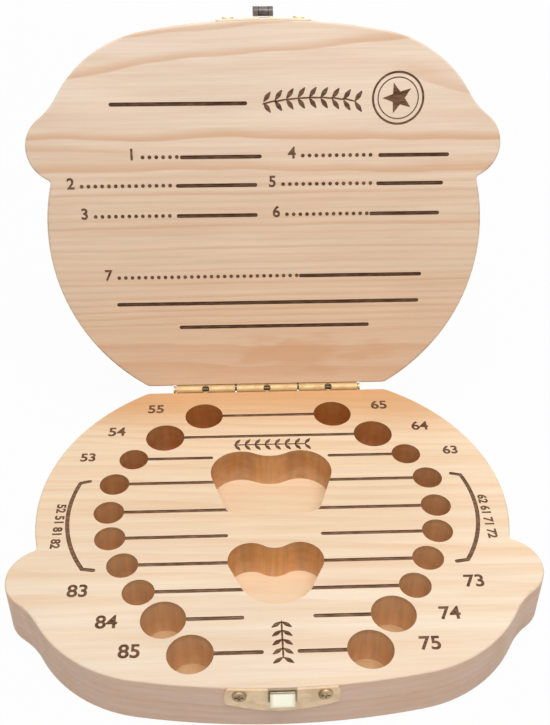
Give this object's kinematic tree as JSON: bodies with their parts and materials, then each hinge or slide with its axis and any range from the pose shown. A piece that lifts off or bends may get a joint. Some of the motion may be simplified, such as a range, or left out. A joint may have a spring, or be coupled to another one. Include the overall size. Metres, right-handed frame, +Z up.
{
  "type": "baby tooth box",
  "caption": "Head-shaped wooden keepsake box for milk teeth: base with round tooth cups and heart-shaped hollows, lid on a rear hinge, snap latch at the front.",
  "frame": {"origin": "middle of the base's flat underside: the mirror plane, half the base's depth, on the surface it stands on", "axes": "+Z up, -Y towards the latch, +Y towards the hinge, X across the box"},
  "size_m": [0.122, 0.1416, 0.1077],
  "materials": {
    "pine": "satin",
    "brass": "satin",
    "steel": "satin",
    "antique_brass": "satin"
  },
  "bodies": {
    "base": {"base_board": "pine", "hinge_leaf_base": "brass", "hinge_pin": "steel", "catch_plate": "brass", "hinge_screw_base_left": "antique_brass", "hinge_screw_base_middle": "antique_brass", "hinge_screw_base_right": "antique_brass", "catch_screw_left": "antique_brass", "catch_screw_right": "antique_brass"},
    "lid": {"lid_board": "pine", "hinge_leaf_lid": "brass", "latch_plate": "brass", "lever_pin": "steel", "hinge_screw_lid_left": "antique_brass", "hinge_screw_lid_middle": "antique_brass", "hinge_screw_lid_right": "antique_brass", "latch_screw_left": "antique_brass", "latch_screw_right": "antique_brass"},
    "lever": {"latch_lever": "brass"}
  },
  "joints": [
    {"name": "lid_hinge", "type": "hinge", "parent": "base", "child": "lid", "pos_m": [0, 0.049, 0.01315], "axis": [1, 0, 0], "range_deg": [0, 108]},
    {"name": "lever_hinge", "type": "hinge", "parent": "lid", "child": "lever", "pos_m": [0, 0.08151, 0.10658], "axis": [1, 0, 0], "range_deg": [0, 180]}
  ]
}
